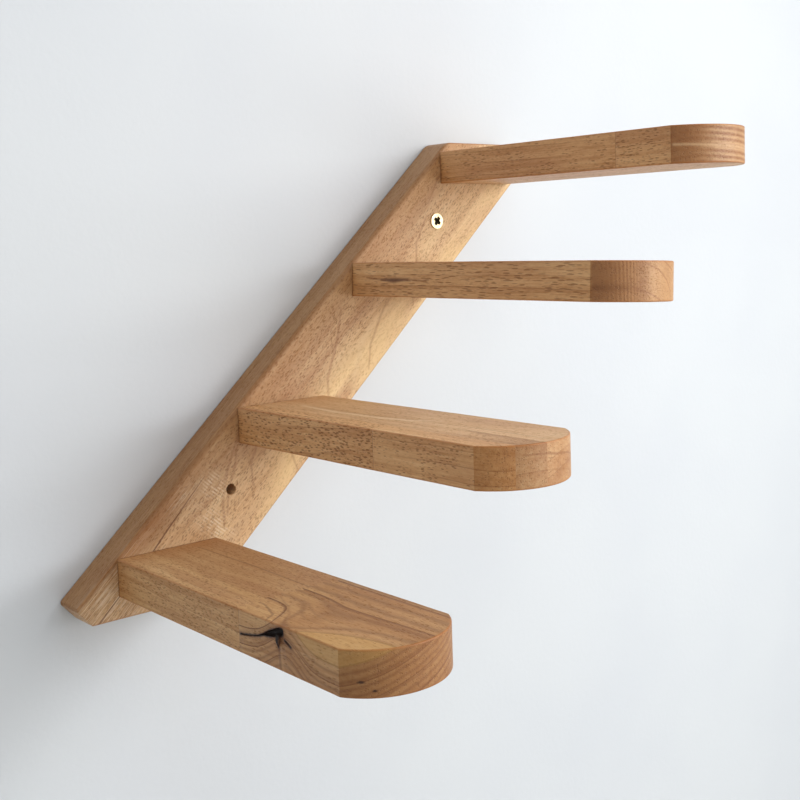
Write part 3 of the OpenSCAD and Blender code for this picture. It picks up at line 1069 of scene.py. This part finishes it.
head_at = Vector((screw_at.x, screw_low.y, screw_at.z))
screw = screw_mesh("yellow_wall_screw", 2.5 * MM, 1.75 * MM, screw_high.y - screw_low.y, screw_r,
                   2.2 * MM, radians(38))
screw.data.transform(at(*head_at, INWARD))
yellow_plate = plated("yellow zinc plate", "#f1e3bd", "#dcc593", 0.3, head_at / MM)
finish_piece(screw, ["wall_screw"], yellow_plate)

ties_low, ties_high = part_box("tongue_screws")
ties = []
for k, (x, z) in enumerate(tie_spots):
    tie = screw_mesh("tie", 2 * MM, 1.4 * MM, ties_high.y - ties_low.y, 4 * MM, 1.8 * MM, k * 0.7)
    tie.data.transform(at(x, ties_high.y, z, OUTWARD))
    ties.append(tie)
joined = bmesh.new()
for tie in ties:
    joined.from_mesh(tie.data)
    bpy.data.objects.remove(tie)
tongue_screws = mesh_object("plated_tongue_screws", joined)
finish_piece(tongue_screws, ["tongue_screws"],
             plated("bright zinc plate", "#c9cacc", "#a9abb0", 0.3))

plug_low, plug_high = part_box("wall_plug")
plug_r = (plug_high.x - plug_low.x) / 2
plug_l = plug_high.y - plug_low.y
ribs = [(2.55 * MM, 0), (plug_r - 0.1 * MM, 0), (plug_r, 0.15 * MM), (plug_r, 1.2 * MM)]
z = 6 * MM
ribs += [(plug_r - 0.25 * MM, 1.8 * MM), (plug_r - 0.25 * MM, z)]
while z < plug_l - 5 * MM:
    ribs += [(plug_r, z + 0.4 * MM), (plug_r, z + 0.9 * MM), (plug_r - 0.55 * MM, z + 1.9 * MM)]
    z += 2.2 * MM
ribs += [(plug_r - 0.1 * MM, plug_l - 3 * MM), (plug_r - 1 * MM, plug_l - 0.2 * MM)]
ribs += [(plug_r - 1.3 * MM, plug_l), (0.3 * MM, plug_l)]
ribs += [(0.3 * MM, plug_l - 2 * MM), (2.55 * MM, plug_l - 3 * MM)]
bm = bmesh.new()
rings = [circle(bm, radius, height, 40) for radius, height in ribs]
skin(bm, rings + rings[:1], capped=False)
plug = mesh_object("ribbed_wall_plug", bm)
half_slit, past = 0.4 * MM, 6 * MM
slit_plan = [(-half_slit, -past), (half_slit, -past), (half_slit, past), (-half_slit, past)]
cut(plug, [prism("slit", slit_plan, 6 * MM, plug_l - 6 * MM)])
plug_mid = (plug_low + plug_high) / 2
plug.data.transform(at(plug_mid.x, plug_low.y, plug_mid.z, INWARD))
g = Graph("moulded nylon")
x, y, z = g.place()
mottle = g.noise(x, y, z, 0.35, 4)
spark = g.noise(x, y, z, 9, 2)
clouded = g.mix(g.step(mottle, 0.35, 0.65), "#c2c2bc", "#aaaaa3")
nylon = g.surface(clouded, spark * 0.2 + 0.42, spark * 0.4 + mottle * 0.3, 0.05 * MM)
finish_piece(plug, ["wall_plug"], nylon)


# ---- wall, floor, light and camera

def sheet(name, corners_3d, opening=()):
    """A flat surface, with an optional opening in it."""
    bm = bmesh.new()
    rings = [[Vector(c) for c in outline] for outline in (corners_3d, opening) if outline]
    points = [bm.verts.new(c) for ring in rings for c in ring]
    for triangle in tessellate_polygon(rings):
        face = bm.faces.new([points[k] for k in triangle])
        face.normal_update()
        if face.normal.dot(Vector((0, -1, 1))) < 0:  # every face looks into the room
            face.normal_flip()
    mesh = bpy.data.meshes.new(name)
    bm.to_mesh(mesh)
    bm.free()
    return add_object(name, mesh)


WALL_Y, FLOOR_Z, REACH = 0.0003, -0.8, 6
WALL_TOP = 3


def rectangle(low, high):
    """Corners of a sheet that reaches equally far to both sides, between two heights or depths."""
    return (-REACH, low), (REACH, low), (REACH, high), (-REACH, high)


wall = sheet("wall", [(x, WALL_Y, z) for x, z in rectangle(FLOOR_Z, WALL_TOP)],
             [(p.x, WALL_Y, p.y) for p in behind_board])
floor = sheet("floor", [(x, y, FLOOR_Z) for x, y in rectangle(-REACH, REACH)])

g = Graph("painted wall")
x, y, z = g.place()
roll = g.noise(x, y, z, 0.25, 4)
patchy = g.noise(x, y, z, 0.006, 2)
paint = g.mix(g.step(patchy, 0.35, 0.65), "#d4dade", "#d1d7dc")
g.surface(paint, 0.7, roll, 0.12 * MM)
# The wall is one-sided, so that the rack's back can be looked at
shader = next(n for n in g.tree.nodes if n.type == "BSDF_PRINCIPLED")
output = next(n for n in g.tree.nodes if n.type == "OUTPUT_MATERIAL")
clear, either = g.node("ShaderNodeBsdfTransparent"), g.node("ShaderNodeMixShader")
g.tree.links.new(g.node("ShaderNodeNewGeometry").outputs["Backfacing"], either.inputs[0])
g.tree.links.new(shader.outputs[0], either.inputs[1])
g.tree.links.new(clear.outputs[0], either.inputs[2])
g.tree.links.new(either.outputs[0], output.inputs[0])
wall.data.materials.append(g.material)

g = Graph("pale floor")
x, y, z = g.place()
grit = g.noise(x, y, z, 0.05, 4)
floor.data.materials.append(g.surface(g.mix(grit, "#dfe0e0", "#e6e6e5"), 0.6))
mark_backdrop(wall, floor)


def area_light(name, spot, target, size, power, tint):
    data = bpy.data.lights.new(name, "AREA")
    data.shape = "SQUARE"
    data.size = size
    data.energy = power
    data.color = linear(tint)[:3]
    light = add_object(name, data)
    light.location = spot
    light.visible_camera = False
    light.rotation_mode = "QUATERNION"
    light.rotation_quaternion = (Vector(target) - Vector(spot)).to_track_quat("-Z", "Y")


centre = (cad_low + cad_high) / 2
LIGHTS = [
    ("window", (2.8, -2.3, 1.4), 2.4, 70, "#fffdfa"),
    ("room in front", (0.42, -0.82, 0.18), 0.6, 5.3, "#fdfcff"),
    ("ceiling", (-0.2, -0.9, 1.9), 1.6, 8.5, "#eef3ff"),
    ("behind the wall", (0.9, 1.6, 0.9), 1.4, 7, "#f6f8ff"),
]
SKY = 0.495
for name, offset, size, power, tint in LIGHTS:
    area_light(name, centre + Vector(offset), centre, size, power, tint)

world = bpy.data.worlds.new("room")
world.use_nodes = True
sky = world.node_tree.nodes["Background"]
sky.inputs["Color"].default_value = linear("#f4eee6")
sky.inputs["Strength"].default_value = SKY
scene = bpy.context.scene
scene.world = world
scene.view_settings.view_transform = "Standard"

AZIMUTH, ELEVATION, ROLL = radians(-40.46), radians(5), radians(-1.90)
DISTANCE = 0.6284
AIM = centre + Vector((-6.6, 6.9, 11.4)) * MM
flat = cos(ELEVATION)
back = Vector((sin(AZIMUTH) * flat, -cos(AZIMUTH) * flat, sin(ELEVATION)))
level = Vector((cos(AZIMUTH), sin(AZIMUTH), 0))
upward = back.cross(level)
right = level * cos(ROLL) + upward * sin(ROLL)
up = upward * cos(ROLL) - level * sin(ROLL)
lens = bpy.data.cameras.new("camera")
lens.lens, lens.sensor_width = 52.1, 36
lens.shift_y = -0.075
lens.clip_start, lens.clip_end = 0.01, 30
camera = add_object("camera", lens)
axes = Matrix((right, up, back)).transposed().to_4x4()
camera.matrix_world = Matrix.Translation(AIM + back * DISTANCE) @ axes
scene.camera = camera

low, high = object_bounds()
